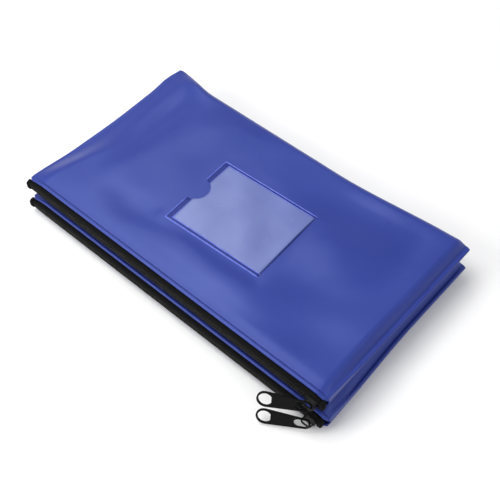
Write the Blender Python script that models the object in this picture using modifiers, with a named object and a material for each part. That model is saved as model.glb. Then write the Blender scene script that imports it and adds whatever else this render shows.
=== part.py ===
"""Two identical flat zippered vinyl deposit bags, one lying on the other.

Each bag is one vinyl sheet folded at the far edge and seamed at both sides.
A coil zipper closes the near edge. A clear card window is welded on the top
panel. The slider runs along the zipper and its pull tab swings on a bridge.

Frame: +X along the zipper towards the closed end, +Y from the zipper to the
fold, +Z up. The origin is the centre of the lower bag's resting face.
"""

import math

import bmesh
import bpy
from mathutils import Matrix, Vector

# ---------------------------------------------------------------- dimensions
MM = 0.001

# Bag body, about 11 x 6 inches
BAG_LENGTH = 280 * MM          # between the side seams
BAG_DEPTH = 158.7 * MM         # from the pressed groove at the zipper to the fold
HALF_THICKNESS = 7.9 * MM      # mid-plane to the flat of a panel
VINYL = 0.9 * MM
SIDE_ROUND = 14 * MM           # how far a panel takes to curve down to a side seam
MOUTH_ROUND = 6 * MM           # the same at the zipper edge
FOLD_ROUND = 7 * MM            # the same at the fold

# Zipper edge, measured outwards from the groove and up from the mid-plane
HEM_WIDTH = 3 * MM
HEM_CROWN = 1.4 * MM
SHOULDER = 6 * MM
GROOVE_DEPTH = 1.3 * MM
CROWN_DEPTH = 0.9 * MM
HEM_DROP = 2.5 * MM
THREAD_RADIUS = 0.2 * MM

# Zipper chain
CHAIN_OUT = 5.3 * MM           # groove to the middle of the chain
COIL_INNER = 0.8 * MM          # half of the slit that the slider's web runs in
COIL_OUTER = 2.3 * MM
COIL_DEPTH = 1.4 * MM
TAPE = 0.5 * MM
TAPE_FLAP = 4 * MM             # tape inside the bag, past the groove
CHAIN_HALF = 137.5 * MM
END_TAB = (3.5 * MM, 3.4 * MM, 9.0 * MM)
GAP = 0.3 * MM

# Slider
SLIDER_X = 132.2 * MM          # closed position
SLIDER_LENGTH = 8.4 * MM
PLATE = 0.9 * MM
FRONT_HALF = 3.6 * MM
BACK_HALF = 2.5 * MM
FLANGE = 0.8 * MM
FLANGE_DEPTH = 0.4 * MM
WEB_HALF = 0.5 * MM

# Bridge over the slider's front plate
BRIDGE_INNER = (3.4 * MM, 3.6 * MM)
BRIDGE_WALL = 0.9 * MM
BRIDGE_WIDTH = 1.2 * MM
BRIDGE_SQUARENESS = 4

# Pull tab, along its own length from the hinge
PIVOT_ALONG = 2.3 * MM         # from the slider's middle
PIVOT_HEIGHT = 2.0 * MM        # above the bridge's feet
PIVOT_DROP = 0.4 * MM
PULL_THICKNESS = 1.2 * MM
PULL_REACH = 29.4 * MM         # hinge to the middle of the ring
RING_RADIUS = 5.75 * MM
RING_HOLE = 4.6 * MM
RING_FLAT = 3.9 * MM
NECK = (7.5 * MM, 4.05 * MM)   # place and radius
EYE = (3.2 * MM, 3.8 * MM)
SLOT_START = 0.6 * MM
SLOT_END = 10.5 * MM
SLOT_RADIUS = 2.9 * MM
PULL_SWING = math.radians(28)  # out from the zipper
PULL_DROOP = math.radians(2)
PULL_LEAN = math.radians(24.5)

# Card window, its middle measured from the middle of the bag
WINDOW_MIDDLE = (4.65 * MM, -8.8 * MM)
WINDOW_TURN = math.radians(2.1)
WINDOW_HALF = (42.5 * MM, 33.8 * MM)
WINDOW_CORNER = 1.5 * MM
FILM = 0.5 * MM
NOTCH_RADIUS = 10.6 * MM

# The upper bag lies on the lower one, a little askew
STACK_SHIFT = Vector((-1.7 * MM, 2.7 * MM, 17.0 * MM))

GROOVE_Y = -BAG_DEPTH / 2
FOLD_Y = BAG_DEPTH / 2
FRONT_FACE = CHAIN_OUT + COIL_DEPTH / 2 + GAP + PLATE   # outward face of the slider


# ----------------------------------------------------------------- materials
def material(name, colour, roughness, metallic=0.0):
    """A plain Principled material."""
    made = bpy.data.materials.new(name)
    made.use_nodes = True
    shader = made.node_tree.nodes["Principled BSDF"]
    shader.inputs["Base Color"].default_value = (*colour, 1.0)
    shader.inputs["Roughness"].default_value = roughness
    shader.inputs["Metallic"].default_value = metallic
    made.diffuse_color = (*colour, 1.0)
    return made


def make_materials():
    return {
        "vinyl": material("blue_vinyl", (0.06, 0.08, 0.42), 0.35),
        "film": material("clear_film", (0.28, 0.33, 0.62), 0.25),
        "thread": material("blue_thread", (0.05, 0.06, 0.35), 0.7),
        "tape": material("black_tape", (0.02, 0.02, 0.02), 0.85),
        "coil": material("black_coil", (0.03, 0.03, 0.03), 0.4),
        "slider": material("black_slider", (0.04, 0.04, 0.045), 0.35, 0.6),
        "pull": material("black_pull", (0.02, 0.02, 0.02), 0.4, 0.6),
    }


# ------------------------------------------------------------------- helpers
def collection(name):
    made = bpy.data.collections.new(name)
    bpy.context.scene.collection.children.link(made)
    return made


def add_object(name, data, parent, place, finish, group):
    """Link an object under its parent empty at a place given in that empty's frame."""
    made = bpy.data.objects.new(name, data)
    group.objects.link(made)
    made.parent = parent
    made.matrix_local = place
    made.data.materials.append(finish)
    return made


def add_empty(name, parent, place, group):
    made = bpy.data.objects.new(name, None)
    made.empty_display_size = 10 * MM
    group.objects.link(made)
    made.parent = parent
    made.location = place
    return made


def arc(centre, radius, start, end, steps):
    """Points along an arc, its two ends included."""
    points = []
    for step in range(steps + 1):
        angle = start + (end - start) * step / steps
        points.append((centre[0] + radius * math.cos(angle), centre[1] + radius * math.sin(angle)))
    return points


def outline_plate(name, loops, thickness, parent, place, finish, group):
    """A flat plate from closed outlines; the inner ones are holes."""
    data = bpy.data.curves.new(name, "CURVE")
    data.dimensions = "2D"
    data.fill_mode = "BOTH"
    data.extrude = thickness / 2
    for loop in loops:
        spline = data.splines.new("POLY")
        spline.points.add(len(loop) - 1)
        for point, (x, y) in zip(spline.points, loop):
            point.co = (x, y, 0, 1)
        spline.use_cyclic_u = True
    return add_object(name, data, parent, place, finish, group)


def wire(name, points, radius, parent, finish, group):
    """A round wire through the points."""
    data = bpy.data.curves.new(name, "CURVE")
    data.dimensions = "3D"
    data.bevel_depth = radius
    data.bevel_resolution = 1
    data.use_fill_caps = True
    spline = data.splines.new("POLY")
    spline.points.add(len(points) - 1)
    for point, place in zip(spline.points, points):
        point.co = (*place, 1)
    return add_object(name, data, parent, Matrix(), finish, group)


def block(name, low, high, parent, finish, group, bevel=0.0):
    """A box between two corners, with rounded edges where it has a bevel."""
    mesh = bmesh.new()
    bmesh.ops.create_cube(mesh, size=1)
    size = Vector(high) - Vector(low)
    bmesh.ops.scale(mesh, vec=size, verts=mesh.verts)
    data = bpy.data.meshes.new(name)
    mesh.to_mesh(data)
    mesh.free()
    middle = (Vector(high) + Vector(low)) / 2
    made = add_object(name, data, parent, Matrix.Translation(middle), finish, group)
    if bevel:
        rounding = made.modifiers.new("rounding", "BEVEL")
        rounding.width = bevel
        rounding.segments = 2
    return made


def sheet(name, rows, thickness, offset, parent, finish, group, merge=False):
    """A solid sheet through rows of points, all rows of one length."""
    mesh = bmesh.new()
    grid = [[mesh.verts.new(point) for point in row] for row in rows]
    for row, following in zip(grid, grid[1:]):
        for step in range(len(row) - 1):
            corners = (row[step], row[step + 1], following[step + 1], following[step])
            mesh.faces.new(corners)
    if merge:
        bmesh.ops.remove_doubles(mesh, verts=mesh.verts, dist=0.01 * MM)
        loose = [face for face in mesh.faces if face.calc_area() < 1e-12]
        bmesh.ops.delete(mesh, geom=loose, context="FACES")
    data = bpy.data.meshes.new(name)
    mesh.to_mesh(data)
    mesh.free()
    made = add_object(name, data, parent, Matrix(), finish, group)
    solid = made.modifiers.new("thickness", "SOLIDIFY")
    solid.thickness = thickness
    solid.offset = offset
    solid.use_even_offset = True
    return made


# ----------------------------------------------------------------- bag shape
def ramp(distance, width):
    """Quarter-ellipse rise from 0 at an edge to 1 at the given width."""
    reach = max(0.0, 1 - distance / width)
    return math.sqrt(1 - reach * reach)


def side_ramp(x, y):
    """Share of the full thickness left by the nearer side seam."""
    inward = min(1.0, max(0.0, (y - GROOVE_Y) / (30 * MM)))
    width = MOUTH_ROUND + (SIDE_ROUND - MOUTH_ROUND) * inward
    return ramp(max(0.0, BAG_LENGTH / 2 - abs(x)), width)


def edge_height(y):
    """Height of a panel over the mid-plane, away from the side seams."""
    profile = (
        (GROOVE_Y - HEM_WIDTH, HALF_THICKNESS - HEM_DROP),
        (GROOVE_Y - HEM_CROWN, HALF_THICKNESS - CROWN_DEPTH),
        (GROOVE_Y, HALF_THICKNESS - GROOVE_DEPTH),
        (GROOVE_Y + SHOULDER, HALF_THICKNESS),
    )
    for (y0, z0), (y1, z1) in zip(profile, profile[1:]):
        if y <= y1:
            return z0 + (z1 - z0) * (y - y0) / (y1 - y0)
    return HALF_THICKNESS * ramp(max(0.0, FOLD_Y - y), FOLD_ROUND)


def panel_point(x, y, side):
    return Vector((x, y, side * edge_height(y) * side_ramp(x, y)))


def stations_x():
    """Places across the bag, close together where it curves to the seams."""
    half = BAG_LENGTH / 2
    curved = [half - step * MM for step in (0, 0.25, 1, 2.5, 5, 9, 14)]
    return [-x for x in curved] + [-60 * MM, 0, 60 * MM] + curved[::-1]


def stations_y():
    """Places along a panel, from the hem's edge to the fold."""
    near = [GROOVE_Y - HEM_WIDTH, GROOVE_Y - HEM_CROWN, GROOVE_Y, GROOVE_Y + SHOULDER]
    middle = [GROOVE_Y + 30 * MM, 0, FOLD_Y - 30 * MM]
    far = [FOLD_Y - step * MM for step in (7, 4.5, 2.5, 1, 0.25, 0)]
    return near + middle + far


def make_shell(prefix, parent, finish, group):
    """The folded vinyl sheet: both panels, the fold and the seamed sides."""
    places = stations_y()
    rows = []
    for x in stations_x():
        top = [panel_point(x, y, 1) for y in places]
        bottom = [panel_point(x, y, -1) for y in reversed(places[:-1])]
        rows.append(top + bottom)
    return sheet(prefix + "shell", rows, VINYL, 1, parent, finish, group, merge=True)


def make_tape(name, side, parent, finish, group):
    """One woven tape, from its coil to the flap under the hem."""
    rows = []
    span = [CHAIN_HALF - step * MM for step in (0, 1.5, 3.5, 6.5, 10)]
    for x in [-x for x in span] + [0] + span[::-1]:
        under_hem = (HALF_THICKNESS - HEM_DROP) * side_ramp(x, GROOVE_Y) - 1.6 * MM
        section = (
            (-CHAIN_OUT, COIL_OUTER + GAP),
            (-CHAIN_OUT + 0.1 * MM, COIL_OUTER + 0.8 * MM),
            (-CHAIN_OUT + 1.4 * MM, under_hem + 0.1 * MM),
            (-2 * MM, under_hem),
            (TAPE_FLAP, under_hem + 1.0 * MM * side_ramp(x, GROOVE_Y)),
        )
        rows.append([Vector((x, GROOVE_Y + y, side * z)) for y, z in section])
    return sheet(name, rows, TAPE, 0, parent, finish, group)


def make_thread(name, side, parent, finish, group):
    """The stitching line in the groove of one panel."""
    span = [BAG_LENGTH / 2 - step * MM for step in (4, 6, 9, 13)]
    points = []
    for x in [-x for x in span] + [0] + span[::-1]:
        lift = GAP + THREAD_RADIUS
        height = panel_point(x, GROOVE_Y, 1).z + lift
        points.append(Vector((x, GROOVE_Y, side * height)))
    return wire(name, points, THREAD_RADIUS, parent, finish, group)


def make_coil(name, side, parent, finish, group):
    """One half of the chain, as a bar of the coil's outer size."""
    low_y = GROOVE_Y - CHAIN_OUT - COIL_DEPTH / 2
    ends = sorted((side * COIL_INNER, side * COIL_OUTER))
    low = (-CHAIN_HALF, low_y, ends[0])
    high = (CHAIN_HALF, low_y + COIL_DEPTH, ends[1])
    return block(name, low, high, parent, finish, group)


def make_end_tab(name, side, parent, finish, group):
    """The folded and tacked end of the tapes, which stops the slider."""
    near = side * (CHAIN_HALF + GAP)
    ends = sorted((near, near + side * END_TAB[0]))
    middle = GROOVE_Y - CHAIN_OUT
    low = (ends[0], middle - END_TAB[1] / 2, -END_TAB[2] / 2)
    high = (ends[1], middle + END_TAB[1] / 2, END_TAB[2] / 2)
    return block(name, low, high, parent, finish, group, bevel=0.8 * MM)


def make_window(prefix, parent, finish, group):
    """The clear film on the top panel, with its half-round thumb notch."""
    quarter = math.pi / 2
    outline = []
    for number, (side_x, side_y) in enumerate(((-1, -1), (1, -1), (1, 1), (-1, 1))):
        centre_x = side_x * (WINDOW_HALF[0] - WINDOW_CORNER)
        centre_y = side_y * (WINDOW_HALF[1] - WINDOW_CORNER)
        start = (number + 2) * quarter
        outline += arc((centre_x, centre_y), WINDOW_CORNER, start, start + quarter, 3)
    outline += arc((-WINDOW_HALF[0], 0), NOTCH_RADIUS, quarter, -quarter, 14)
    height = HALF_THICKNESS + GAP + FILM / 2
    turn = Matrix.Rotation(WINDOW_TURN, 4, "Z")
    place = Matrix.Translation((*WINDOW_MIDDLE, height)) @ turn
    return outline_plate(prefix + "card_window", [outline], FILM, parent, place, finish, group)


# -------------------------------------------------------------------- slider
def make_slider(prefix, parent, finish, group):
    """Front and back plates with the web that runs between the coils."""
    front = FRONT_FACE
    back = CHAIN_OUT - COIL_DEPTH / 2 - GAP
    lip = front - PLATE - FLANGE_DEPTH
    right = [
        (front, FRONT_HALF),
        (lip, FRONT_HALF),
        (lip, FRONT_HALF - FLANGE),
        (front - PLATE, FRONT_HALF - FLANGE),
        (front - PLATE, WEB_HALF),
        (back, WEB_HALF),
        (back, BACK_HALF),
        (back - PLATE, BACK_HALF),
    ]
    outline = right + [(out, -z) for out, z in reversed(right)]
    # the outline's own axes are outwards (-Y) and up; it is extruded along X
    turn = Matrix(((0, 0, 1), (-1, 0, 0), (0, 1, 0))).to_4x4()
    place = Matrix.Translation((0, CHAIN_OUT, 0)) @ turn
    return outline_plate(
        prefix + "slider_body", [outline], SLIDER_LENGTH, parent, place, finish, group)


def make_bridge(prefix, parent, finish, group):
    """The arch on the front plate that the pull tab hangs on."""
    def half_arch(reach, height):
        points = []
        for step in range(13):
            angle = math.pi * step / 12
            x = abs(math.cos(angle)) ** (2 / BRIDGE_SQUARENESS) * reach
            y = math.sin(angle) ** (2 / BRIDGE_SQUARENESS) * height
            points.append((math.copysign(x, math.cos(angle)), y))
        return points

    inner = half_arch(*BRIDGE_INNER)
    outer = half_arch(BRIDGE_INNER[0] + BRIDGE_WALL, BRIDGE_INNER[1] + BRIDGE_WALL)
    outline = outer + inner[::-1]
    # the outline's own axes are +X and outwards (-Y)
    turn = Matrix(((1, 0, 0), (0, -1, 0), (0, 0, -1))).to_4x4()
    foot = FRONT_FACE + GAP - CHAIN_OUT
    place = Matrix.Translation((0, -foot, 0)) @ turn
    return outline_plate(
        prefix + "slider_bridge", [outline], BRIDGE_WIDTH, parent, place, finish, group)


def tangent_angle(first, second):
    """Angle of the outer tangent points shared by two circles on one axis."""
    return math.pi / 2 + math.asin((second[1] - first[1]) / (second[0] - first[0]))


def pull_outlines():
    """Paddle outline, the ring's D-shaped hole and the slot for the bridge."""
    ring = (PULL_REACH, RING_RADIUS)
    wide = tangent_angle(NECK, ring)
    narrow = tangent_angle(EYE, NECK)
    paddle = arc((ring[0], 0), ring[1], -wide, wide, 22)
    paddle += arc((NECK[0], 0), NECK[1], wide, narrow, 1)
    paddle += arc((EYE[0], 0), EYE[1], narrow + 0.02, 2 * math.pi - narrow - 0.02, 12)
    paddle += arc((NECK[0], 0), NECK[1], -narrow, -wide, 1)[:1]
    cut = math.acos(-RING_FLAT / RING_HOLE)
    hole = arc((ring[0], 0), RING_HOLE, -cut, cut, 18)
    quarter = math.pi / 2
    slot = arc((SLOT_END - SLOT_RADIUS, 0), SLOT_RADIUS, -quarter, quarter, 8)
    slot += arc((SLOT_START + SLOT_RADIUS, 0), SLOT_RADIUS, quarter, 3 * quarter, 8)
    return [paddle, hole, slot]


def pull_axes():
    """The tab's length and width directions at rest."""
    swing, droop = PULL_SWING, PULL_DROOP
    along = Vector((
        -math.cos(swing) * math.cos(droop),
        -math.sin(swing) * math.cos(droop),
        -math.sin(droop)))
    upright = Vector((
        -math.cos(swing) * math.sin(droop),
        -math.sin(swing) * math.sin(droop),
        math.cos(droop)))
    across = math.cos(PULL_LEAN) * upright + math.sin(PULL_LEAN) * along.cross(upright)
    return along, across


def make_pull(prefix, parent, finish, group):
    """The flat pull tab, its crossbar on the hinge axis."""
    along, across = pull_axes()
    turn = Matrix((along, across, along.cross(across))).transposed().to_4x4()
    return outline_plate(
        prefix + "pull_tab", pull_outlines(), PULL_THICKNESS, parent, turn, finish, group)


# ----------------------------------------------------------------- assembly
def make_bag(prefix, place, finishes, group):
    """One complete bag, its middle at the place given."""
    bag = add_empty(prefix + "bag_frame", None, place, group)
    make_shell(prefix, bag, finishes["vinyl"], group)
    make_window(prefix, bag, finishes["film"], group)
    for word, side in (("top_", 1), ("bottom_", -1)):
        make_tape(prefix + word + "tape", side, bag, finishes["tape"], group)
        make_coil(prefix + word + "coil", side, bag, finishes["coil"], group)
        make_thread(prefix + word + "hem_thread", side, bag, finishes["thread"], group)
    for word, side in (("left_", -1), ("right_", 1)):
        make_end_tab(prefix + word + "end_tab", side, bag, finishes["tape"], group)
    slider_place = (SLIDER_X, GROOVE_Y - CHAIN_OUT, 0)
    slider = add_empty(prefix + "slider_frame", bag, slider_place, group)
    make_slider(prefix, slider, finishes["slider"], group)
    make_bridge(prefix, slider, finishes["slider"], group)
    pivot_out = FRONT_FACE + GAP - CHAIN_OUT + PIVOT_HEIGHT
    pivot = add_empty(
        prefix + "pull_hinge", slider, (PIVOT_ALONG, -pivot_out, -PIVOT_DROP), group)
    make_pull(prefix, pivot, finishes["pull"], group)


def main():
    for old in list(bpy.data.objects):
        bpy.data.objects.remove(old, do_unlink=True)
    group = collection("deposit_bags")
    finishes = make_materials()
    rest = Vector((0, 0, HALF_THICKNESS))
    make_bag("lower_", rest, finishes, group)
    make_bag("upper_", rest + STACK_SHIFT, finishes, group)


main()
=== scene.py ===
"""Looks of two stacked zippered vinyl deposit bags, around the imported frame.

Shapes are worked out in millimetres in a bag's own frame: x along the zipper,
y from the zipper to the fold, z up from the bag's mid-plane.
"""

import math

import bmesh
import bpy
import numpy as np
from mathutils import Matrix, Vector


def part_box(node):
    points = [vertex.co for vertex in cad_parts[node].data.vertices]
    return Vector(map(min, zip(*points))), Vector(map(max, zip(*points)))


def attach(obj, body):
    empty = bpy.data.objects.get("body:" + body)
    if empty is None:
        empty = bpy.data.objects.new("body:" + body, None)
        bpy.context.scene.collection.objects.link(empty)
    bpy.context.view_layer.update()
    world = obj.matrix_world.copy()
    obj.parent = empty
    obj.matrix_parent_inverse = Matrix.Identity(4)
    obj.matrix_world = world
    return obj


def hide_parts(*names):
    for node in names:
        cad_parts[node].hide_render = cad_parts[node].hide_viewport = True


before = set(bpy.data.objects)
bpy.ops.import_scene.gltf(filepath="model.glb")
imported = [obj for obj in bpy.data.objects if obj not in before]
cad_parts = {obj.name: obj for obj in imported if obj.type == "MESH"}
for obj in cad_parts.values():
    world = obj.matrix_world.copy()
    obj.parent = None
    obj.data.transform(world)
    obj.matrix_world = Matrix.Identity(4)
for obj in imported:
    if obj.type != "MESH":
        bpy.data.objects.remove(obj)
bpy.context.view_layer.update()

MM = 0.001
BAGS = ("lower_", "upper_")
SIDES = (("top_", 1), ("bottom_", -1))
ENDS = (("left_", -1), ("right_", 1))

# Bag body
HEM_WIDTH = 3.0
LOW, HIGH = [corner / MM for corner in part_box("upper_shell")]
HALF_LENGTH = (HIGH.x - LOW.x) / 2
HALF_THICKNESS = (HIGH.z - LOW.z) / 2
GROOVE_Y = -(HIGH.y - LOW.y - HEM_WIDTH) / 2
FOLD_Y = -GROOVE_Y
VINYL = 0.6
FOLD_ROUND = 8.0
RIM = 0.9             # half thickness of the seamed side edge
MOUTH_RIM = 4.3       # the same beside the zipper, which holds the ends open
HEM_HEIGHT = HALF_THICKNESS - 0.85
HEM_RISE = 9          # width of the rise from the hem to the full thickness
GROOVE_DEPTH = (0.24, 0.56)    # at a side seam, and more away from it
GROOVE_WIDTH = 0.4

# Side seams: flat edge, and the rise beside it, which widens on the left
RIGHT_FLAT = 2.6
LEFT_FLAT = 1.2
RISE = 8.0
LEFT_RISE = 7.0
LEFT_RISE_FAR = 15.0
ROUND_SHARE = 0.5     # how much of the rise is round, and less on the left
LEFT_ROUND_LOSS = 0.25

# Soft steps: where each starts and how wide it is. Those with FROM in their
# name are measured from the groove or fold inwards, FLARE_NEAR is measured
# towards the zipper, and the others along the bag.
RISE_FROM_GROOVE = (0, 40)
WIDEN_FROM_GROOVE = (8, 70)
SHUT_FROM_GROOVE = (-2, 42)
SEAM_FROM_GROOVE = (2, 6)
SEAM_FROM_FOLD = (0, 4)
SWELL_FROM_GROOVE = (2, 16)
SWELL_FROM_FOLD = (3, 16)
BOW_LEFT = (-HALF_LENGTH, 44)
BOW_RIGHT = (30, 108)
CORNER_OUT = (124, 14)
FLARE_NEAR = (-12, 85)
FLARE_RIGHT = (90, 48)

# Turned seam edge: height, distance inside the edge, width
SEAM_BEAD = (0.35, 1.0, 0.7)
SEAM_LINE = (-0.22, 2.5, 0.5)
LEFT_BEAD = 0.3       # share of it that shows on the left
SEAM_CLOSING = (0.85, 0.6, 0.3, 0.0)
SEAM_LAP = 0.7        # how far the closed ends reach beyond the edge

# Outline in plan
ZIP_CORNER = 4.0
FOLD_CORNER = 2.2
FOLD_BOW = 7.2        # how far the fold is drawn in between its corners
FOLD_BOW_START = 28
FOLD_CORNER_OUT = 0.4
LEFT_BOW = ((1.5, 2, 38), (-1.6, 63, 11))      # depth, y, reach
LEFT_BOW_START = 80

# Uneven top panel: height, middle, reach, turn in degrees of each swell, and
# a ripple with its wave lengths
SWELLS = (
    (1.3, (-98, -38), (26, 34), 20),
    (-1.7, (-112, 34), (13, 60), 4),
    (0.9, (-66, 42), (26, 40), -15),
    (-1.0, (-62, -52), (40, 12), 0),
    (0.9, (10, -58), (60, 12), 0),
    (-1.2, (70, 50), (44, 20), 10),
    (1.1, (82, 12), (30, 22), 30),
    (-1.2, (86, -26), (44, 13), 38),
    (-0.9, (104, -52), (26, 16), 20),
    (0.9, (58, -44), (34, 12), 30),
    (-0.8, (112, 36), (12, 30), 0),
)
SWELL_DEPTH = 2.3
RIPPLE = 0.25
RIPPLE_X = (17, 41)
RIPPLE_Y = (23, 19)
RIPPLE_SHIFT = 1.3
WINDOW_CALM = 0.8     # share of the swell that the welded film takes away
CALM_MARGIN = 10
LOWER_CALM = 0.35     # share of the swell left in the bag that is lain on
LOWER_FLARE = 2.6     # how far its right end spreads near the zipper

# Places where a panel's points are close together
SEAM_STEPS = (0, 0.3, 0.6, 0.9, 1.2, 1.6, 2.0, 2.4, 2.8, 3.3, 4.0)
SEAM_EVEN_STEPS = (5.2, 30, 1.6)
MIDDLE_INSET = 31
MIDDLE_COUNT = 85
GROOVE_STEPS = (0.25, 0.5, 0.8, 1.2, 1.8, 2.6, 3.6, 4.8, 6.2, 8.0)
FOLD_STEPS = (9.0, 7.8, 6.6, 5.4, 4.2, 3.1, 2.1, 1.3, 0.7, 0.3, 0.08, 0)
PANEL_INSET = 10
TOP_STEP = 2.4
BOTTOM_STEP = 5.5

# Rolled hem, outwards from the groove and down from its crown
HEM_LIP = ((0.2, -1.7), (-0.7, -1.7))
HEM_MIDDLE = (-1.55, -0.65)
HEM_RADIUS = (1.5, 1.05)
HEM_START = -90
HEM_TURN = -236
HEM_COUNT = 14

# Card window, from its own middle: welded outline, clear area, thumb notch
WINDOW_MIDDLE = (4.65, -8.8)
WINDOW_TURN = math.radians(2.1)
WELD_X = (-42.5, 42.5)
WELD_Y = (-33.8, 33.8)
CLEAR_X = (-37.5, 41.4)
CLEAR_Y = (-30.8, 31.2)
NOTCH_RADIUS = 10.6
FILM = 0.2
FILM_GAP = 0.4
FILM_DOME = (0.35, 0.4)     # at the open side, and more towards the closed one
FILM_WAVES = (
    (0.3, (18, -18), (10, 22), 24),
    (0.25, (28, 14), (14, 6), -12),
    (-0.15, (-12, 6), (20, 8), 35),
)
FILM_ROWS = 73
FILM_COLUMNS = 57

# Weld sections, from the outline inwards. Each point gives its distance from
# the outline, as a share of the whole strip plus a length, and its height.
WELD_PARTS = {
    "rib": (
        (0, -0.35, -0.2), (0, -0.1, 0.3), (0, 0.2, 0.58), (0, 0.5, 0.62),
        (0, 0.8, 0.45), (0, 1.0, 0.12)),
    "weld": (
        (0, 0.9, 0.1), (0, 1.3, 0.14), (0.5, 0.4, 0.16), (1, -0.9, 0.2),
        (1, -0.45, 0.3)),
    "lip": (
        (1, -0.55, 0.15), (1, -0.4, 0.55), (1, -0.1, 0.8), (1, 0.2, 0.78),
        (1, 0.4, 0.5)),
}
WELD_FILM = 0.3
WELD_DOWN = 12        # points on a strip's short leg
WELD_ALONG = 34       # and on its long one
WELD_TAPER = 30
WELD_END = 0.15       # share of the height left at the open end

# Zipper
CHAIN_OUT = 5.3
COIL_RADIUS = (0.62, 0.83)     # outwards and upwards
COIL_WIRE = 0.3
COIL_PITCH = 1.3
COIL_END = 137.2
COIL_LEVEL = 1.4
COIL_STEPS = 9
COIL_FLAT = 0.6       # share of the wire kept inside the coil's height
TAPE = 0.45
TAPE_RUNS = ((-137.3, -120, 13), (-117, 117, 79), (120, 137.3, 13))
TAPE_HEM_OUT = 1.0
TAPE_LIP = (0.1, -0.45)
TAPE_INSET = 0.05
TAPE_BEND = 5         # steps round the bend
TAPE_UNDER_HEM = 2.15
TAPE_LEVEL = 0.35
TAPE_CHAIN_LEVEL = 2.45
TAPE_STEP = 1.2       # from the hem up to the coils
TAPE_TURN = 1.6
TAPE_FLAT = (-2.9, -1.8, 0.0, 3.5)
THREAD = 0.17
STITCH = 2.6
STITCH_GAP = 0.7
STITCH_DIP = -0.12
STITCH_ARCH = 0.3
STITCH_START = 6

# Folded tape ends
END_MIDDLE = (138.7, 4.2, -0.5)     # from the middle, the groove, mid-plane
END_HALF = (2.1, 2.4, 4.1)
END_SLANT = 0.9
END_SQUARE = 0.62     # below 1 the rounded block is squarer
END_CREASE = 0.08
CREASE_WIDTH = 0.14
END_RINGS = 24
END_SEGMENTS = 32

# Metal parts
METAL_EDGE = 0.25

# Camera: azimuth, elevation and roll in degrees, lengths in millimetres
CAMERA_TURNS = (42.1, 53.0, -0.8)
CAMERA_TARGET = (20.6, -16.9, 20.0)
CAMERA_DISTANCE = 653.5
CAMERA_LENS = 66.6
CAMERA_SENSOR = 36

# Studio: lengths in metres, power in watts
FLOOR_SIZE = 6
FLOOR_LEVEL = -0.0004
STUDIO_LIGHT = 0.48
SOFTBOXES = {
    "back_softbox": ((-0.85, 0.55, 1.25), (0.5, 0.5), 2.6),
    "top_softbox": ((-0.45, -0.15, 1.2), (0.8, 0.8), 9),
    "right_softbox": ((1.1, 0.1, 0.9), (0.6, 0.6), 3.5),
    "front_softbox": ((-0.45, -0.8, 0.6), (0.6, 0.5), 6),
}


# ------------------------------------------------------------------- helpers
def place_of(prefix):
    """Middle of a bag in the row frame, in metres."""
    low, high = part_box(prefix + "shell")
    middle = (low + high) / 2
    middle.y += HEM_WIDTH * MM / 2
    return middle


def smooth(value):
    """Value between 0 and 1, eased at both ends."""
    value = np.clip(value, 0.0, 1.0)
    return value * value * (3 - 2 * value)


def step_up(value, start, width):
    """Soft step from 0 to 1 over a width."""
    return smooth((value - start) / width)


def ridge(value, height, middle, reach):
    """Soft rise around one value."""
    return height * np.exp(-((value - middle) / reach) ** 2)


def humps(x, y, table):
    """Sum of soft oval rises: height, middle, reach, turn in degrees."""
    total = 0.0
    for height, middle, reach, turn in table:
        c, s = math.cos(math.radians(turn)), math.sin(math.radians(turn))
        out_x, out_y = x - middle[0], y - middle[1]
        along = (out_x * c + out_y * s) / reach[0]
        across = (-out_x * s + out_y * c) / reach[1]
        total = total + height * np.exp(-(along * along + across * across))
    return total


def link(name, data):
    """New object in the scene."""
    made = bpy.data.objects.new(name, data)
    bpy.context.scene.collection.objects.link(made)
    return made


def smooth_piece(name, points, faces, place):
    """Smooth mesh object from points in millimetres."""
    data = bpy.data.meshes.new(name)
    data.from_pydata((points * MM + np.array(place)).tolist(), [], faces)
    data.shade_smooth()
    return link(name, data)


def grid_piece(name, points, place):
    """Smooth open surface through a grid of points in millimetres."""
    rows, columns = points.shape[:2]
    index = np.arange(rows * columns).reshape(rows, columns)
    corners = (index[:-1, :-1], index[1:, :-1], index[1:, 1:], index[:-1, 1:])
    faces = np.stack(corners, -1).reshape(-1, 4)
    return smooth_piece(name, points.reshape(-1, 3), faces.tolist(), place)


def thicken(piece, thickness, offset=-1.0):
    """Give a surface its thickness: -1 inwards, 0 both ways, 1 outwards."""
    solid = piece.modifiers.new("thickness", "SOLIDIFY")
    solid.thickness = thickness * MM
    solid.offset = offset


def tube_piece(name, runs, radius, place):
    """Closed four-sided tubes along paths in millimetres, shaded round."""
    data = bpy.data.curves.new(name, "CURVE")
    data.dimensions = "3D"
    data.bevel_depth = radius * MM
    data.bevel_resolution = 0
    data.use_fill_caps = True
    for run in runs:
        spline = data.splines.new("POLY")
        spline.points.add(len(run) - 1)
        places = np.array(run) * MM + np.array(place)
        flat = np.column_stack((places, np.ones(len(places))))
        spline.points.foreach_set("co", flat.ravel())
    tube = to_mesh(link(name, data))
    tube.data.shade_smooth()
    return tube


def to_mesh(curve):
    """Mesh object in place of a curve object, its caps welded on."""
    depsgraph = bpy.context.evaluated_depsgraph_get()
    data = bpy.data.meshes.new_from_object(curve.evaluated_get(depsgraph))
    name, place = curve.name, curve.matrix_world.copy()
    bpy.data.objects.remove(curve)
    mesh = bmesh.new()
    mesh.from_mesh(data)
    bmesh.ops.remove_doubles(mesh, verts=mesh.verts, dist=0.001 * MM)
    mesh.to_mesh(data)
    mesh.free()
    data.name = name
    made = link(name, data)
    made.matrix_world = place
    return made


def settle(piece, finish, body, slot, *nodes):
    """Give a piece its material, its body and the CAD nodes it replaces."""
    piece.data.materials.clear()
    piece.data.materials.append(finish)
    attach(piece, body)
    if nodes:
        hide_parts(*nodes)
    return piece


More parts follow.
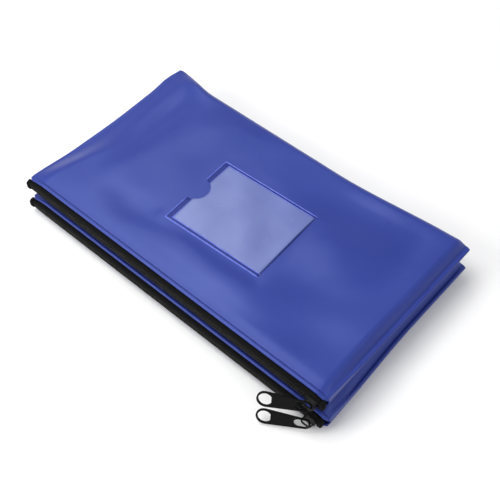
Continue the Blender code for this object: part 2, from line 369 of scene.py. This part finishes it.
# ----------------------------------------------------------------- bag shape
def side_share(x, y):
    """0 at a side seam, 1 where the panel has reached its full height."""
    inward = step_up(y - GROOVE_Y, *RISE_FROM_GROOVE)
    left = np.where(x < 0, 1.0, 0.0)
    start = RIGHT_FLAT * inward * (1 - left) + LEFT_FLAT * inward * left
    widening = LEFT_RISE_FAR * step_up(y - GROOVE_Y, *WIDEN_FROM_GROOVE)
    end = RISE + inward + left * (LEFT_RISE + widening)
    rise = np.clip((HALF_LENGTH - np.abs(x) - start) / (end - start), 0, 1)
    roundness = ROUND_SHARE - LEFT_ROUND_LOSS * left * inward
    arch = 1 - (1 - rise) ** 2
    return (1 - roundness) * smooth(rise) + roundness * arch


def rim_height(y):
    """Half thickness at the side edge, where the zipper holds it open."""
    shut = step_up(y - GROOVE_Y, *SHUT_FROM_GROOVE)
    return RIM + (MOUTH_RIM - RIM) * (1 - shut)


def seam_bead(x, y):
    """Turned edge of a side seam: a bead and the pressed line beside it."""
    inside = HALF_LENGTH - np.abs(x)
    bead = ridge(inside, *SEAM_BEAD) + ridge(inside, *SEAM_LINE)
    from_groove = step_up(y - GROOVE_Y, *SEAM_FROM_GROOVE)
    from_fold = step_up(FOLD_Y - y, *SEAM_FROM_FOLD)
    return np.where(x > 0, 1.0, LEFT_BEAD) * bead * from_groove * from_fold


def panel_swell(x, y, calm):
    """Soft unevenness of the top panel, less under the window."""
    swell = humps(x, y, SWELLS)
    drift = np.sin(y / RIPPLE_Y[0]) * RIPPLE_SHIFT
    ripple = np.sin(x / RIPPLE_X[0] + drift)
    ripple = ripple * np.sin(y / RIPPLE_Y[1] - x / RIPPLE_X[1])
    swell += RIPPLE * ripple
    from_x = np.abs(x - WINDOW_MIDDLE[0]) - WELD_X[1]
    from_y = np.abs(y - WINDOW_MIDDLE[1]) - WELD_Y[1]
    inside = 1 - smooth(from_x / CALM_MARGIN)
    inside = inside * (1 - smooth(from_y / CALM_MARGIN))
    edge = step_up(y - GROOVE_Y, *SWELL_FROM_GROOVE)
    edge = edge * step_up(FOLD_Y - y, *SWELL_FROM_FOLD)
    share = (1 - WINDOW_CALM * inside) * edge * side_share(x, y)
    return SWELL_DEPTH * calm * swell * share


def panel_height(x, y, side=1, calm=1.0):
    """Height of a panel's outer face over the mid-plane."""
    rise = smooth((y - GROOVE_Y) / HEM_RISE)
    full = HEM_HEIGHT + (HALF_THICKNESS - HEM_HEIGHT) * rise
    share = side_share(x, y)
    reach = np.clip((FOLD_Y - y) / FOLD_ROUND, 0, 1)
    fold = np.sqrt(np.clip(1 - (1 - reach) ** 2, 0, 1))
    rim = rim_height(y)
    height = (rim + (full - rim) * share) * fold
    height += seam_bead(x, y)
    depth = GROOVE_DEPTH[0] + GROOVE_DEPTH[1] * share
    height -= ridge(y, depth, GROOVE_Y, GROOVE_WIDTH)
    if side > 0:
        height += panel_swell(x, y, calm)
    return height


def fold_bow(x, y):
    """How far the sheet is drawn in from the fold, between the corners."""
    bow = FOLD_BOW * step_up(x, *BOW_LEFT) * (1 - step_up(x, *BOW_RIGHT))
    bow -= FOLD_CORNER_OUT * step_up(x, *CORNER_OUT)
    return bow * step_up(y, FOLD_BOW_START, FOLD_Y - FOLD_BOW_START)


def left_bow(x, y):
    """How far the left seam is drawn in, and let out by its far corner."""
    drawn = sum(ridge(y, *bow) for bow in LEFT_BOW)
    return drawn * step_up(-x, LEFT_BOW_START, HALF_LENGTH - LEFT_BOW_START)


def in_plan(x, y, flare=0.0):
    """Where a point of the flat rectangle lies in plan.

    The corners are rounded, the fold and the left seam drawn in and the right
    end flared near the zipper.
    """
    drawn_x = left_bow(x, y)
    drawn_x += flare * step_up(-y, *FLARE_NEAR) * step_up(x, *FLARE_RIGHT)
    drawn_y = -fold_bow(x, y)
    corners = (
        (ZIP_CORNER, GROOVE_Y - HEM_WIDTH, 1), (FOLD_CORNER, FOLD_Y, -1))
    for radius, edge, inward in corners:
        over = (np.abs(x) - (HALF_LENGTH - radius)) / radius
        across = np.clip(over, 0, 1)
        along = np.clip((radius - (y - edge) * inward) / radius, 0, 1)
        shift_x = radius * across * (np.sqrt(1 - along ** 2 / 2) - 1)
        shift_y = radius * along * (1 - np.sqrt(1 - across ** 2 / 2))
        x = x + np.sign(x) * shift_x
        y = y + shift_y * inward
    return x + drawn_x, y + drawn_y


def side_stations():
    """Places along the bag, close together by the seams."""
    close = np.concatenate((SEAM_STEPS, np.arange(*SEAM_EVEN_STEPS)))
    reach = HALF_LENGTH - MIDDLE_INSET
    middle = np.linspace(-reach, reach, MIDDLE_COUNT)
    return np.concatenate(
        (-HALF_LENGTH + close, middle, HALF_LENGTH - close[::-1]))


def panel_stations(step):
    """Places from the groove to the fold, close together at both."""
    close = GROOVE_Y + np.array(GROOVE_STEPS)
    middle = np.arange(GROOVE_Y + PANEL_INSET, FOLD_Y - PANEL_INSET, step)
    fold = FOLD_Y - np.array(FOLD_STEPS)
    return np.concatenate(([GROOVE_Y], close, middle, fold))


def hem_section():
    """Rolled hem, from its inner lip round to its crown."""
    section = list(HEM_LIP)
    for step in range(HEM_COUNT + 1):
        angle = math.radians(HEM_START + HEM_TURN * step / HEM_COUNT)
        section.append((
            HEM_MIDDLE[0] + HEM_RADIUS[0] * math.cos(angle),
            HEM_MIDDLE[1] + HEM_RADIUS[1] * math.sin(angle)))
    return section


def close_seams(points):
    """Bring the panels together along both side seams, up to the groove."""
    near = points[..., 1].max(axis=0) >= GROOVE_Y - 0.01
    ends = []
    for edge, side in ((points[0], -1), (points[-1], 1)):
        rows = []
        for share in SEAM_CLOSING:
            row = edge.copy()
            row[near, 2] *= share
            row[near, 0] += side * SEAM_LAP * (1 - share)
            rows.append(row)
        ends.append(rows)
    return np.concatenate((ends[0][::-1], points, ends[1]))


def make_shell(prefix, calm, flare, finish):
    """The folded vinyl sheet with rolled hems and seamed sides."""
    across = side_stations()
    columns = []
    for side, step in ((1, TOP_STEP), (-1, BOTTOM_STEP)):
        strip = []
        for out, drop in hem_section():
            y = GROOVE_Y + out
            height = panel_height(across, y, side, calm) + drop
            strip.append((y, side * height))
        for y in panel_stations(step):
            strip.append((y, side * panel_height(across, y, side, calm)))
        # The bottom panel runs back from the fold, which the two share.
        columns += strip if side > 0 else strip[-2::-1]
    points = np.zeros((len(across), len(columns), 3))
    for index, (y, z) in enumerate(columns):
        points[:, index] = np.column_stack((*in_plan(across, y, flare), z))
    name = prefix + "vinyl_shell"
    shell = grid_piece(name, close_seams(points), place_of(prefix))
    thicken(shell, VINYL)
    return settle(shell, finish, prefix + "bag", "vinyl", prefix + "shell")


# -------------------------------------------------------------------- window
def on_panel(u, v, calm, lift):
    """Points in the window's own plane, lifted off the top panel."""
    c, s = math.cos(WINDOW_TURN), math.sin(WINDOW_TURN)
    x = WINDOW_MIDDLE[0] + u * c - v * s
    y = WINDOW_MIDDLE[1] + u * s + v * c
    return np.stack((x, y, panel_height(x, y, 1, calm) + lift), -1)


def clear_left(y):
    """Left edge of the clear area, with the thumb notch cut into it."""
    reach = np.clip(NOTCH_RADIUS ** 2 - y ** 2, 0, None)
    return np.maximum(CLEAR_X[0], WELD_X[0] + np.sqrt(reach))


def film_lift(x, y):
    """The film stands a little off the panel and waves."""
    u = (x - CLEAR_X[0]) / (CLEAR_X[1] - CLEAR_X[0])
    v = (y - CLEAR_Y[0]) / (CLEAR_Y[1] - CLEAR_Y[0])
    rise = FILM_DOME[0] + FILM_DOME[1] * np.clip(u, 0, 1)
    dome = np.clip(4 * v * (1 - v), 0, 1) * rise
    return FILM_GAP + dome + humps(x, y, FILM_WAVES)


def make_film(prefix, calm, finish):
    """The clear area of the window, up to its notched open side."""
    y = np.linspace(CLEAR_Y[0], CLEAR_Y[1], FILM_ROWS)[None, :]
    share = np.linspace(0, 1, FILM_COLUMNS)[:, None]
    left = clear_left(y)
    x = left + (CLEAR_X[1] - left) * share
    y = np.repeat(y, FILM_COLUMNS, 0)
    points = on_panel(x, y, calm, film_lift(x, y))
    film = grid_piece(prefix + "window_film", points, place_of(prefix))
    thicken(film, FILM, 1.0)
    return settle(
        film, finish, prefix + "bag", "film", prefix + "card_window")


def weld_run(far, insets):
    """One welded strip, from the thumb notch round a corner and along."""
    sign = 1 if far else -1
    rows = []
    for inset_x, inset_y in insets:
        left = WELD_X[0] + inset_x
        level = WELD_Y[far] - sign * inset_y
        start = sign * math.sqrt(NOTCH_RADIUS ** 2 - inset_x ** 2)
        down = [
            (left, start + (level - start) * step / WELD_DOWN)
            for step in range(WELD_DOWN)]
        along = [
            (left + (WELD_X[1] - left) * step / WELD_ALONG, level)
            for step in range(WELD_ALONG + 1)]
        rows.append(down + along)
    return np.array(rows)


def make_welds(prefix, calm, weld, edge):
    """Fused strips of the film, along three sides of the window."""
    gap_x = CLEAR_X[0] - WELD_X[0]
    strips = []
    for far, word in enumerate(("near", "far")):
        gap_y = abs(WELD_Y[far] - CLEAR_Y[far])
        for part, section in WELD_PARTS.items():
            insets = [
                (share * gap_x + out, share * gap_y + out)
                for share, out, _ in section]
            plan = weld_run(far, insets)
            lift = np.array([height for _, _, height in section])[:, None]
            ends = np.linspace(0, 1, plan.shape[1])[None, :]
            lift = lift * smooth((1 - ends) * WELD_TAPER + WELD_END)
            points = on_panel(plan[..., 0], plan[..., 1], calm, lift)
            if not far:
                points = points[::-1]
            name = f"{prefix}window_{part}_{word}"
            strip = grid_piece(name, points, place_of(prefix))
            thicken(strip, WELD_FILM)
            # the weld strip takes the painted shade finish, the rib and lip
            # the painted highlight finish
            finish = weld if part == "weld" else edge
            strips.append(settle(strip, finish, prefix + "bag", "film"))
    return strips


# -------------------------------------------------------------------- zipper
def tape_section(hem):
    """Tape from the coils down and in under a hem of the given height."""
    under = np.maximum(hem - TAPE_UNDER_HEM, TAPE_LEVEL)
    chain = np.minimum(TAPE_CHAIN_LEVEL, under + TAPE_STEP)
    section = [(-CHAIN_OUT + TAPE_LIP[0], chain + TAPE_LIP[1])]
    for step in range(TAPE_BEND + 1):
        turn = math.radians(90 * step / TAPE_BEND)
        out = -CHAIN_OUT - TAPE_INSET + TAPE_TURN * (1 - math.cos(turn))
        section.append((out, chain + (under - chain) * math.sin(turn)))
    return section + [(out, under) for out in TAPE_FLAT]


def make_tapes(prefix, finish):
    """Woven tapes, from the coils up under the hems."""
    across = np.concatenate([np.linspace(*run) for run in TAPE_RUNS])
    for word, side in SIDES:
        hem = panel_height(across, GROOVE_Y - TAPE_HEM_OUT, side)
        section = tape_section(hem)
        points = np.zeros((len(across), len(section), 3))
        for index, (out, height) in enumerate(section):
            y = in_plan(across, GROOVE_Y + max(out, -HEM_WIDTH))[1]
            y = y + min(0.0, out + HEM_WIDTH)
            points[:, index] = np.column_stack((across, y, side * height))
        if side < 0:
            points = points[:, ::-1]
        name = f"{prefix}{word}zip_tape"
        tape = grid_piece(name, points, place_of(prefix))
        thicken(tape, TAPE, 0.0)
        settle(tape, finish, prefix + "bag", "tape", f"{prefix}{word}tape")


def make_coils(prefix, finish):
    """Nylon filament wound into the two halves of the chain."""
    turns = round(2 * COIL_END / COIL_PITCH)
    count = turns * COIL_STEPS + 1
    angle = np.linspace(0, 2 * math.pi * turns, count)
    x = np.linspace(-COIL_END, COIL_END, count)
    swing_y = COIL_RADIUS[0] - COIL_WIRE
    swing_z = COIL_RADIUS[1] - COIL_WIRE * COIL_FLAT
    for word, side in SIDES:
        lead = 0 if side > 0 else math.pi
        y = GROOVE_Y - CHAIN_OUT + swing_y * np.cos(angle + lead)
        z = side * (COIL_LEVEL + swing_z * np.sin(angle + lead))
        path = np.column_stack((x, y, z))
        name = f"{prefix}{word}zip_coil"
        coil = tube_piece(name, [path], COIL_WIRE, place_of(prefix))
        settle(coil, finish, prefix + "bag", "coil", f"{prefix}{word}coil")


def make_stitches(prefix, flare, finish):
    """Row of stitches lying in each pressed groove."""
    first = -(HALF_LENGTH - STITCH_START)
    pitch = STITCH + STITCH_GAP
    share = np.linspace(0, 1, 5)
    for word, side in SIDES:
        runs = []
        for number in range(int(-2 * first / pitch)):
            x = first + number * pitch + STITCH * share
            arch = STITCH_DIP + STITCH_ARCH * np.sin(math.pi * share)
            height = panel_height(x, GROOVE_Y, side) + arch
            plan = in_plan(x, GROOVE_Y, flare)
            runs.append(np.column_stack((*plan, side * height)))
        name = f"{prefix}{word}stitching"
        thread = tube_piece(name, runs, THREAD, place_of(prefix))
        settle(
            thread, finish, prefix + "bag", "thread",
            f"{prefix}{word}hem_thread")


def unit_ball(rings, segments):
    """Points and faces of a ball made of rings between two poles."""
    tilt = math.pi * np.arange(1, rings)[:, None] / rings
    turn = 2 * math.pi * np.arange(segments)[None, :] / segments
    level = np.repeat(np.cos(tilt), segments, 1)
    points = np.stack(
        (np.sin(tilt) * np.cos(turn), np.sin(tilt) * np.sin(turn), level), -1)
    points = np.vstack(([0, 0, 1], points.reshape(-1, 3), [0, 0, -1]))
    index = 1 + np.arange((rings - 1) * segments).reshape(-1, segments)
    after = np.roll(index, -1, 1)
    top = [(0, one, two) for one, two in zip(index[0], after[0])]
    last = len(points) - 1
    bottom = [(one, last, two) for one, two in zip(index[-1], after[-1])]
    corners = (index[:-1], index[1:], after[1:], after[:-1])
    sides = np.stack(corners, -1).reshape(-1, 4).tolist()
    return points, top + sides + bottom


def make_tape_ends(prefix, finish):
    """Tape ends folded over and tacked down beyond the coils."""
    ball, faces = unit_ball(END_RINGS, END_SEGMENTS)
    for word, side in ENDS:
        middle_x, middle_y = side * END_MIDDLE[0], GROOVE_Y - END_MIDDLE[1]
        x, y, z = np.copysign(np.abs(ball) ** END_SQUARE, ball).T
        crease = 1 - ridge(z, END_CREASE, 0, CREASE_WIDTH)
        points = np.column_stack((
            middle_x + END_HALF[0] * x * crease,
            middle_y + END_HALF[1] * y * crease,
            END_MIDDLE[2] + (END_HALF[2] + END_SLANT * y) * z))
        name = f"{prefix}{word}tape_end"
        end = smooth_piece(name, points, faces, place_of(prefix))
        settle(end, finish, prefix + "bag", "tape", f"{prefix}{word}end_tab")


# ----------------------------------------------------------------- materials
BLUE_SHEEN = (0.5, 0.6, 1.0, 1.0)
WAVE_LENGTH = 0.314     # of a wave texture at scale 1


class Finish:
    """A node material and the few node set-ups that the finishes share."""

    def __init__(self, name, roughness, **constants):
        self.material = bpy.data.materials.new(name)
        self.material.use_nodes = True
        self.nodes = self.material.node_tree.nodes
        self.links = self.material.node_tree.links
        self.shader = self.nodes["Principled BSDF"]
        self.shader.inputs["Roughness"].default_value = roughness
        for key, value in constants.items():
            self.shader.inputs[key.replace("_", " ")].default_value = value
        self.place = self.nodes.new("ShaderNodeTexCoord").outputs["Object"]

    def node(self, kind, **values):
        """New node, its sockets or settings filled in by name."""
        made = self.nodes.new("ShaderNode" + kind)
        for key, value in values.items():
            if key in made.inputs:
                made.inputs[key].default_value = value
            else:
                setattr(made, key, value)
        return made

    def texture(self, kind, **values):
        """New texture node in the piece's own space."""
        made = self.node(kind, **values)
        self.links.new(self.place, made.inputs["Vector"])
        return made

    def noise(self, size, detail=3.0, rough=0.5):
        """Noise whose features are about the given size in millimetres."""
        made = self.texture(
            "TexNoise", Scale=1 / (size * MM), Detail=detail,
            Roughness=rough)
        return made.outputs["Fac"]

    def cells(self, size):
        """Rounded cells of a size in millimetres."""
        made = self.texture(
            "TexVoronoi", Scale=1 / (size * MM), feature="SMOOTH_F1")
        return made.outputs["Distance"]

    def bands(self, size, axis, distortion=0.0):
        """Bands of a width in millimetres."""
        made = self.texture(
            "TexWave", Scale=WAVE_LENGTH / (size * MM),
            Distortion=distortion, Detail=1.0, bands_direction=axis)
        return made.outputs["Fac"]

    def blend(self, factor, first, second, low=0.3, high=0.7):
        """Colour ramp between two colours by a factor."""
        made = self.node("ValToRGB")
        start, end = made.color_ramp.elements
        start.color, end.color = (*first, 1), (*second, 1)
        start.position, end.position = low, high
        self.links.new(factor, made.inputs["Fac"])
        return made.outputs["Color"]

    def spread(self, factor, low, high):
        """Values from low to high by a factor."""
        made = self.node("MapRange")
        made.inputs["To Min"].default_value = low
        made.inputs["To Max"].default_value = high
        self.links.new(factor, made.inputs["Value"])
        return made.outputs["Result"]

    def mix(self, first, second, share):
        """A share of the first value added to the second."""
        made = self.node("Math", operation="MULTIPLY_ADD")
        self.links.new(first, made.inputs[0])
        made.inputs[1].default_value = share
        self.links.new(second, made.inputs[2])
        return made.outputs["Value"]

    def colour(self, output):
        self.links.new(output, self.shader.inputs["Base Color"])

    def roughness(self, output):
        self.links.new(output, self.shader.inputs["Roughness"])

    def relief(self, output, depth):
        """Bump of a depth in millimetres."""
        made = self.node("Bump", Strength=1.0, Distance=depth * MM)
        self.links.new(output, made.inputs["Height"])
        self.links.new(made.outputs["Normal"], self.shader.inputs["Normal"])


def vinyl_finish():
    """Satin blue PVC with a fine embossed grain."""
    made = Finish(
        "blue_vinyl", 0.34, Specular_IOR_Level=0.5, Specular_Tint=BLUE_SHEEN,
        IOR=1.5)
    made.colour(made.blend(
        made.noise(60, 4), (0.022, 0.038, 0.235), (0.028, 0.046, 0.262)))
    grain = made.mix(made.cells(0.55), made.noise(0.35, 2), 0.6)
    made.roughness(made.spread(made.noise(14, 5, 0.6), 0.3, 0.38))
    made.relief(grain, 0.035)
    return made.material


def weld_painted_shade_finish():
    """Clear film fused down onto the blue vinyl, its colour painted darker
    than the panel as painted shade in the pressed weld groove.
    """
    made = Finish(
        "fused_film_painted_shade", 0.3, Specular_IOR_Level=0.3, Specular_Tint=BLUE_SHEEN,
        IOR=1.5)
    # painted shade: the weld strip is coloured darker than the blue vinyl to
    # stand for the shade in its groove
    made.colour(made.blend(
        made.noise(6, 3), (0.011, 0.018, 0.150), (0.015, 0.024, 0.180)))
    made.roughness(made.spread(made.noise(4, 3), 0.24, 0.36))
    made.relief(made.noise(0.6, 2), 0.03)
    return made.material


def rim_painted_highlight_finish():
    """Raised edges of the film, coloured much lighter than the panel as a
    painted highlight where their rims catch the light.
    """
    made = Finish(
        "film_rim_painted_highlight", 0.25, Specular_IOR_Level=0.5, Specular_Tint=BLUE_SHEEN,
        IOR=1.5)
    # painted highlight: light blue colour standing for the light caught on the
    # rib and lip
    made.colour(made.blend(
        made.noise(5, 3), (0.085, 0.115, 0.480), (0.120, 0.155, 0.560)))
    made.roughness(made.spread(made.noise(3, 3), 0.2, 0.32))
    made.relief(made.noise(1.2, 2), 0.03)
    return made.material


def film_finish():
    """Milky clear film, see-through enough to show the panel."""
    made = Finish(
        "clear_film", 0.22, Specular_IOR_Level=0.5, IOR=1.5, Alpha=0.62)
    haze = made.mix(made.bands(24, "DIAGONAL", 2.0), made.noise(22, 1), 0.4)
    made.colour(made.blend(
        haze, (0.150, 0.190, 0.480), (0.205, 0.255, 0.580), 0.2, 1.0))
    made.roughness(made.spread(made.noise(9, 4), 0.16, 0.32))
    made.relief(made.noise(7, 3), 0.12)
    return made.material


def tape_finish():
    """Black woven tape: rows of yarn crossing ribs."""
    made = Finish(
        "woven_tape", 0.82, Sheen_Weight=0.01, Specular_IOR_Level=0.06)
    weave = made.mix(made.bands(0.7, "X"), made.bands(0.5, "Y", 0.5), 0.9)
    made.colour(made.blend(
        made.noise(0.9, 3), (0.003, 0.003, 0.003), (0.009, 0.009, 0.009)))
    made.roughness(made.spread(made.noise(1.2), 0.72, 0.92))
    made.relief(weave, 0.12)
    return made.material


def coil_finish():
    """Black nylon filament, its colour raised a little above the tape's and
    warmed to olive, partly as a painted highlight on the teeth.
    """
    made = Finish("nylon_coil", 0.34, Specular_IOR_Level=0.3)
    # painted highlight: the lighter, olive upper colour stands for the glints
    # on the coil teeth
    made.colour(made.blend(
        made.noise(2.5), (0.008, 0.008, 0.007), (0.026, 0.025, 0.020)))
    made.roughness(made.spread(made.noise(0.8), 0.3, 0.46))
    made.relief(made.noise(0.2, 2), 0.02)
    return made.material


def thread_finish():
    """Blue twisted thread."""
    made = Finish("blue_thread", 0.6, Sheen_Weight=0.2)
    made.colour(made.blend(
        made.noise(0.5), (0.020, 0.026, 0.20), (0.034, 0.045, 0.27)))
    made.relief(made.bands(0.35, "DIAGONAL"), 0.06)
    return made.material


def enamel_finish(name, low, high):
    """Black enamel on cast metal, a little worn."""
    made = Finish(name, 0.34, Specular_IOR_Level=0.08)
    made.colour(made.blend(made.noise(1.6, 5, 0.7), low, high))
    made.roughness(made.spread(made.noise(0.9, 4), 0.24, 0.44))
    made.relief(made.noise(0.7, 3), 0.03)
    return made.material


def floor_finish():
    """Pale matt floor."""
    made = Finish("pale_floor", 0.75)
    made.colour(made.blend(
        made.noise(90, 4), (0.86, 0.86, 0.86), (0.9, 0.9, 0.9)))
    return made.material


# ------------------------------------------------------------ camera, lights
def facing(direction):
    """Rotation that points a camera or lamp back along a direction."""
    return direction.to_track_quat("Z", "Y").to_matrix()


def make_camera():
    """Camera at the photograph's viewing angle."""
    azimuth, elevation, roll = [math.radians(turn) for turn in CAMERA_TURNS]
    level = Vector((math.sin(azimuth), -math.cos(azimuth), 0))
    back = level * math.cos(elevation) + Vector((0, 0, math.sin(elevation)))
    place = Vector(CAMERA_TARGET) * MM + back * CAMERA_DISTANCE * MM
    turn = facing(back) @ Matrix.Rotation(roll, 3, "Z")
    data = bpy.data.cameras.new("camera")
    data.lens = CAMERA_LENS
    data.sensor_width = CAMERA_SENSOR
    camera = link("camera", data)
    camera.matrix_world = Matrix.Translation(place) @ turn.to_4x4()
    bpy.context.scene.camera = camera


def make_softbox(name, place, size, power):
    """Area lamp that faces the middle of the stack."""
    data = bpy.data.lights.new(name, "AREA")
    data.shape = "RECTANGLE"
    data.size, data.size_y = size
    data.energy = power
    lamp = link(name, data)
    turn = facing(Vector(place)).to_4x4()
    lamp.matrix_world = Matrix.Translation(place) @ turn


def make_stage():
    """Pale floor, even studio light and softboxes."""
    bpy.ops.mesh.primitive_plane_add(
        size=FLOOR_SIZE, location=(0, 0, FLOOR_LEVEL))
    floor = bpy.context.object
    floor.name = "floor"
    floor.data.materials.append(floor_finish())
    world = bpy.data.worlds.new("studio")
    world.use_nodes = True
    background = world.node_tree.nodes["Background"].inputs
    background["Color"].default_value = (1, 1, 1, 1)
    background["Strength"].default_value = STUDIO_LIGHT
    bpy.context.scene.world = world
    bpy.context.scene.view_settings.view_transform = "Standard"
    for name, (place, size, power) in SOFTBOXES.items():
        make_softbox(name, place, size, power)


# --------------------------------------------------------------------- build
def soften_edges(node, finish):
    """A CAD piece whose shape is right gets softer edges and its finish."""
    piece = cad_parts[node]
    bevel = piece.modifiers.new("soft_edges", "BEVEL")
    bevel.width = METAL_EDGE * MM
    bevel.segments = 2
    bevel.limit_method = "ANGLE"
    piece.data.materials.clear()
    piece.data.materials.append(finish)


def build():
    """Both bags, from the floor up."""
    vinyl, film = vinyl_finish(), film_finish()
    # painted shade on the weld strips, painted highlight on their raised edges
    weld, edge = weld_painted_shade_finish(), rim_painted_highlight_finish()
    tape, coil, thread = tape_finish(), coil_finish(), thread_finish()
    slider = enamel_finish(
        "slider_enamel", (0.004, 0.004, 0.004), (0.012, 0.012, 0.012))
    pull = enamel_finish(
        "pull_enamel", (0.002, 0.002, 0.002), (0.006, 0.006, 0.006))
    for prefix in BAGS:
        lower = prefix == "lower_"
        calm, flare = (LOWER_CALM, LOWER_FLARE) if lower else (1.0, 0.0)
        shell = make_shell(prefix, calm, flare, vinyl)
        window = make_film(prefix, calm, film)
        strips = make_welds(prefix, calm, weld, edge)
        make_tapes(prefix, tape)
        make_coils(prefix, coil)
        make_stitches(prefix, flare, thread)
        make_tape_ends(prefix, tape)
        soften_edges(prefix + "slider_body", slider)
        soften_edges(prefix + "slider_bridge", slider)
        soften_edges(prefix + "pull_tab", pull)


make_camera()
make_stage()
build()
